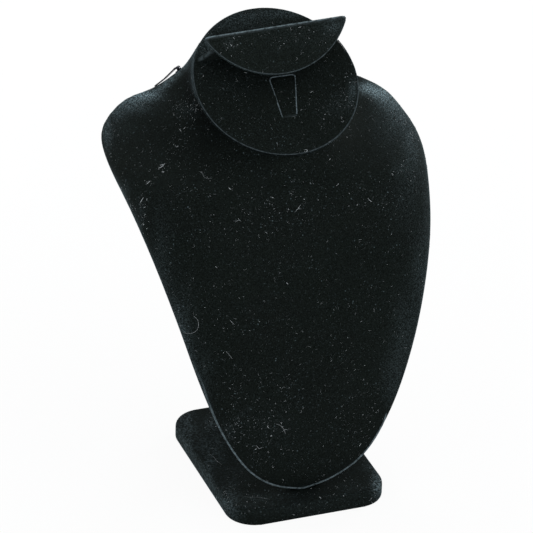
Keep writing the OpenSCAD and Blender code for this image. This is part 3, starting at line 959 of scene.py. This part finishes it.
class STAND_OT_clips(Operator):
    """Sets the sprung clips closer to the neck, as a used spring strip lies"""

    bl_idname = "stand.clips"
    bl_label = "Clips"

    def execute(self, context):
        material = spring_steel_material()
        for hand in ("left", "right"):
            node_name = "necklace_clip_" + hand
            piece = copy_of(node_name, "sprung_clip_" + hand)
            corners = piece.data.vertices
            ends = [edge.vertices for edge in piece.data.edges]
            edges = [corners[b].co - corners[a].co for a, b in ends]
            along = next(e.normalized() for e in edges if abs(e.length - CLIP_FOOT) < 0.03 * MM)
            across = next(e.normalized() for e in edges if abs(e.length - CLIP_WIDE) < 0.02 * MM)
            points = points_of(piece)
            reach = points @ np.array(along)
            middle = reach.mean()
            if reach.max() - middle > middle - reach.min():
                along, reach = -along, -reach
            reach -= reach.min()
            rise = np.array(along.cross(across).normalized())
            rise *= np.sign(rise @ np.array((1 if hand == "right" else -1, 0, 0.3)))
            share = np.clip((reach - CLIP_FOOT) / (reach.max() - 12 * MM), 0, 1)
            # The strip's end comes 1.5 mm closer, and it is drawn a little thick so it shows
            drop = 2.8 * MM * (3 * share**2 - 2 * share**3) - 1.3 * MM * share
            set_points(piece, points - rise * drop[:, None])
            swell(piece, 0.14 * MM)
            piece.data.materials.append(material)
            seat(piece, "spring_steel", node_name)
        return {"FINISHED"}


class STAND_OT_hardware(Operator):
    """Finishes the screws, block, post and liner"""

    bl_idname = "stand.hardware"
    bl_label = "Hardware"

    def execute(self, context):
        finishes = {
            screw_material(): ("neck_screws", "base_screws"),
            wood_material("sawn_pine", "#c79f6b", "#8f6537", 0.75): ("neck_block",),
            wood_material("black_stained_pine", "#2e2721", "#0d0b0a", 0.7): ("support_post",),
            felt_material(): ("base_liner",),
        }
        for material, names in finishes.items():
            for name in names:
                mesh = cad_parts[name].data
                if mesh.materials:
                    for i in range(len(mesh.materials)):
                        mesh.materials[i] = material
                else:
                    mesh.materials.append(material)
        return {"FINISHED"}


class Skin:
    """A piece's outer surface, to lay fibres on."""

    def __init__(self, piece, keep):
        mesh = piece.data
        mesh.calc_loop_triangles()
        corners = np.empty(len(mesh.loop_triangles) * 3, np.int32)
        mesh.loop_triangles.foreach_get("vertices", corners)
        points = points_of(piece)[corners.reshape(-1, 3)]
        across = np.cross(points[:, 1] - points[:, 0], points[:, 2] - points[:, 0])
        area = np.linalg.norm(across, axis=1)
        normal = across / np.maximum(area, 1e-12)[:, None]
        area[~keep(points.mean(axis=1), normal)] = 0
        self.corners = points
        self.share = np.cumsum(area) / area.sum()
        self.tree = BVHTree.FromPolygons(
            [v.co for v in mesh.vertices], [p.vertices for p in mesh.polygons]
        )

    def under(self, pixels):
        """The places on the surface that pixels of the frame look at."""
        hits = [self.tree.ray_cast(*ray_through(x, y))[0] for x, y in pixels]
        return [spot for spot in hits if spot is not None]

    def spread(self, count, seed):
        """Random places on the surface, thicker in some patches than in others."""
        draw = np.random.RandomState(seed)
        chosen = self.corners[np.searchsorted(self.share, draw.rand(count * 4))]
        a, b = draw.rand(2, count * 4)
        over = a + b > 1
        a[over], b[over] = 1 - a[over], 1 - b[over]
        start, second, third = chosen.transpose(1, 0, 2)
        points = start + a[:, None] * (second - start) + b[:, None] * (third - start)
        wide = smooth_noise(points, LINT_PATCH, seed + 1)
        narrow = smooth_noise(points, LINT_PATCH / 4, seed + 2)
        chosen = draw.rand(len(points)) < 0.34 + 0.5 * wide + 0.22 * narrow
        return [Vector(p) for p in points[chosen][:count]]


class Fluff:
    """Loose fibres, gathered in one mesh: thin tubes that lie on a skin."""

    def __init__(self, seed):
        self.draw = random.Random(seed)
        self.mesh = bmesh.new()
        self.tone = self.mesh.verts.layers.float.new("tone")

    def lay(self, skin, path, radius, tone, lift=0.15 * MM):
        """Lays a path of points on the skin as one fibre, thinner at its ends."""
        line = []
        up = Vector((0, 0, 0))
        for i, p in enumerate(path):
            spot, normal, _, _ = skin.tree.find_nearest(p)
            if spot is None:
                return
            arch = math.sin(math.pi * i / (len(path) - 1))
            line.append(spot + normal * (radius * 0.4 + lift * arch))
            up += normal
        if (line[-1] - line[0]).length < 1e-6:
            return
        sides = 3 if len(path) > 2 else 4

        def taper(t):
            return radius * (0.55 + 1.8 * t * (1 - t))

        for vertex in tube_into(self.mesh, line, up, taper, sides):
            vertex[self.tone] = tone

    def strand(self, skin, start, way, length, bend, radius, tone):
        """A fibre that wanders from a start, with a bend about every 0.55 mm."""
        count = max(2, min(7, round(length / (0.55 * MM))))
        path = [start.copy()]
        _, normal, _, _ = skin.tree.find_nearest(start)
        turn = self.draw.gauss(0, bend)
        for _ in range(count):
            way = Matrix.Rotation(turn + self.draw.gauss(0, bend * 0.6), 3, normal) @ way
            path.append(path[-1] + way * (length / count))
        self.lay(skin, path, radius, tone)

    def scatter(self, skin, places, radius, bright=1.0, longest=3.2):
        """Fibres and short ends at random places."""
        for place in places:
            _, normal, _, _ = skin.tree.find_nearest(place)
            way = normal.orthogonal().normalized()
            way = Matrix.Rotation(self.draw.uniform(0, 2 * math.pi), 3, normal) @ way
            kind = self.draw.random()
            tone = bright * (0.03 + 0.5 * self.draw.random() ** 4)
            if kind < 0.6:
                length, bend, thin, thick = self.draw.uniform(0.3, 0.8), 0.6, 0.8, 1.7
            else:
                length = 0.8 + (longest - 0.8) * self.draw.random() ** 2
                bend, thin, thick = 0.8, 0.7, 1.2
            size = radius * self.draw.uniform(thin, thick)
            self.strand(skin, place, way, length * MM, bend, size, tone)

    def piece(self, name, material):
        mesh = bpy.data.meshes.new(name)
        self.mesh.to_mesh(mesh)
        self.mesh.free()
        mesh.shade_smooth()
        mesh.materials.append(material)
        piece = bpy.data.objects.new(name, mesh)
        bpy.context.scene.collection.objects.link(piece)
        seat(piece, "velvet")


def faces_front(points, normals):
    """Keeps the outer side: what faces forward, sideways or up, and not the hollow back."""
    return (normals[:, 1] < 0.35) & ((normals[:, 1] < -0.12) | (normals[:, 2] > 0.1)) | (
        (points[:, 0] * normals[:, 0] > 0) & (np.abs(normals[:, 0]) > 0.5)
    )


class STAND_OT_lint(Operator):
    """Strews loose fibres and dust, and lays the ones that stand out where they are seen"""

    bl_idname = "stand.lint"
    bl_label = "Lint"

    def execute(self, context):
        look = context.scene.stand_lint
        material = lint_material()
        radius = look.thickness / 2
        out = np.array(SLOPE_OUT)
        # The side of each piece that lint settles on, and the number of loose fibres there
        strewn = {
            "bust": (faces_front, look.bust_fibres),
            "disc": (lambda p, n: n @ out > 0.5, look.disc_fibres),
            "flap": (lambda p, n: (n @ out > 0.3) | (n[:, 1] > 0.3), int(look.disc_fibres * 0.55)),
            "base": (lambda p, n: n[:, 2] > -0.3, look.base_fibres),
        }
        skins, fluff = {}, {}
        for i, (name, (keep, count)) in enumerate(strewn.items()):
            skins[name] = Skin(bpy.data.objects["flocked_" + name], keep)
            fluff[name] = Fluff(look.seed + i)
            fluff[name].scatter(skins[name], skins[name].spread(count, look.seed), radius)

        draw = random.Random(look.seed + 40)
        for name, clusters in LINT_CLUSTERS.items():
            for x, y, wide, high, count, bright in clusters:
                pixels = [(draw.gauss(x, wide), draw.gauss(y, high)) for _ in range(count)]
                spots = skins[name].under(pixels)
                fluff[name].scatter(skins[name], spots, radius * 1.1, bright * 2, 2.2)
        for name, strands in LINT_STRANDS.items():
            for thick, tone, corners in strands:
                spots = skins[name].under(corners)
                if len(spots) > 2:
                    shortest = min((a - b).length for a, b in zip(spots, spots[1:]))
                    spots = rounded_line(spots, shortest * 0.45, 3)
                if len(spots) > 1:
                    line = spaced(spots, 0.5 * MM)
                    fluff[name].lay(skins[name], line, thick * radius, tone, 0.1 * MM)
        for name in skins:
            fluff[name].piece("lint_on_" + name, material)
        return {"FINISHED"}


class STAND_OT_stage(Operator):
    """Sets the pale floor, the soft light and the camera"""

    bl_idname = "stand.stage"
    bl_label = "Stage"

    def execute(self, context):
        look = context.scene.stand_stage
        deselect()
        bpy.ops.mesh.primitive_plane_add(size=12, location=(0, 0, 0))
        floor = context.object
        floor.name = "studio_floor"
        material, tree = new_material("white_studio_paper")
        # Seen straight on, the paper is nearly white, with the faint shadow left in it
        rays = node(tree, "LightPath").node.outputs
        seen = node(tree, "Math", rays["Is Camera Ray"], rays["Is Glossy Ray"], **LARGER)
        seen = node(tree, "Math", seen, rays["Is Transmission Ray"], **LARGER)
        share = node(tree, "Math", seen, 0.93, **TIMES)
        paper = node(tree, "BsdfDiffuse", linear("#e6e6e6"))
        white = node(tree, "Emission", linear("#ffffff"), 1.0)
        both = node(tree, "MixShader", share, paper, white)
        node(tree, "OutputMaterial", both)
        floor.data.materials.append(material)

        world = bpy.data.worlds.new("studio_sky")
        context.scene.world = world
        world.use_nodes = True
        tree = world.node_tree
        tree.nodes.clear()
        rays = node(tree, "LightPath").node.outputs
        seen = node(tree, "Math", rays["Is Camera Ray"], rays["Is Glossy Ray"], **LARGER)
        dim = node(tree, "Background", linear("#f2f6fa"), look.sky)
        white = node(tree, "Background", linear("#ffffff"), 1.0)
        both = node(tree, "MixShader", seen, dim, white)
        node(tree, "OutputWorld", both)

        for name, place, size, power in (
            ("key_softbox", (0.7, -0.9, 1.5), 0.9, look.key_power),
            ("right_strip", (1.45, 0.9, 0.5), 0.6, look.key_power * 3.2),
            ("left_strip", (-0.5, 1.6, 0.5), 0.6, look.key_power * 3.2),
        ):
            lamp = bpy.data.lights.new(name, "AREA")
            lamp.shape = "SQUARE"
            lamp.size = size
            lamp.energy = power
            holder = bpy.data.objects.new(name, lamp)
            holder.location = place
            aim = Vector((0, 0, 0.16)) - Vector(place)
            holder.rotation_euler = aim.to_track_quat("-Z", "Y").to_euler()
            context.scene.collection.objects.link(holder)

        camera = bpy.data.cameras.new("studio_camera")
        camera.sensor_width = 36
        camera.lens = look.lens
        camera.clip_end = 20
        holder = bpy.data.objects.new("studio_camera", camera)
        place = Vector(look.camera_place)
        aim = Vector(look.camera_aim) - place
        turn = aim.to_track_quat("-Z", "Y").to_matrix() @ Matrix.Rotation(look.camera_roll, 3, "Z")
        holder.rotation_euler = turn.to_euler()
        holder.location = place
        context.scene.collection.objects.link(holder)
        context.scene.camera = holder
        context.scene.view_settings.view_transform = "Standard"
        return {"FINISHED"}


class STAND_PT_panel(Panel):
    """Lists the pieces of the stand and their settings"""

    bl_idname = "STAND_PT_panel"
    bl_label = "Necklace Stand"
    bl_space_type = "VIEW_3D"
    bl_region_type = "UI"
    bl_category = "Necklace Stand"

    def draw(self, context):
        for group_name in PROPERTIES:
            group = getattr(context.scene, group_name)
            box = self.layout.box()
            for name in group.__annotations__:
                box.prop(group, name)
        for operator in OPERATORS:
            self.layout.operator(operator.bl_idname)


PROPERTIES = {
    "stand_flock": FlockProperties,
    "stand_mesh": MeshProperties,
    "stand_lint": LintProperties,
    "stand_stage": StageProperties,
}
OPERATORS = (
    STAND_OT_stage,
    STAND_OT_bust_shell,
    STAND_OT_neck_disc,
    STAND_OT_earring_flap,
    STAND_OT_base,
    STAND_OT_clips,
    STAND_OT_hardware,
    STAND_OT_lint,
)


def register():
    for name, group in PROPERTIES.items():
        bpy.utils.register_class(group)
        setattr(bpy.types.Scene, name, PointerProperty(type=group))
    for operator in OPERATORS:
        bpy.utils.register_class(operator)
    bpy.utils.register_class(STAND_PT_panel)


def unregister():
    bpy.utils.unregister_class(STAND_PT_panel)
    for operator in reversed(OPERATORS):
        bpy.utils.unregister_class(operator)
    for name, group in PROPERTIES.items():
        delattr(bpy.types.Scene, name)
        bpy.utils.unregister_class(group)


def main():
    register()
    for operator in OPERATORS:
        group, name = operator.bl_idname.split(".")
        getattr(getattr(bpy.ops, group), name)()


if __name__ == "__main__":
    main()
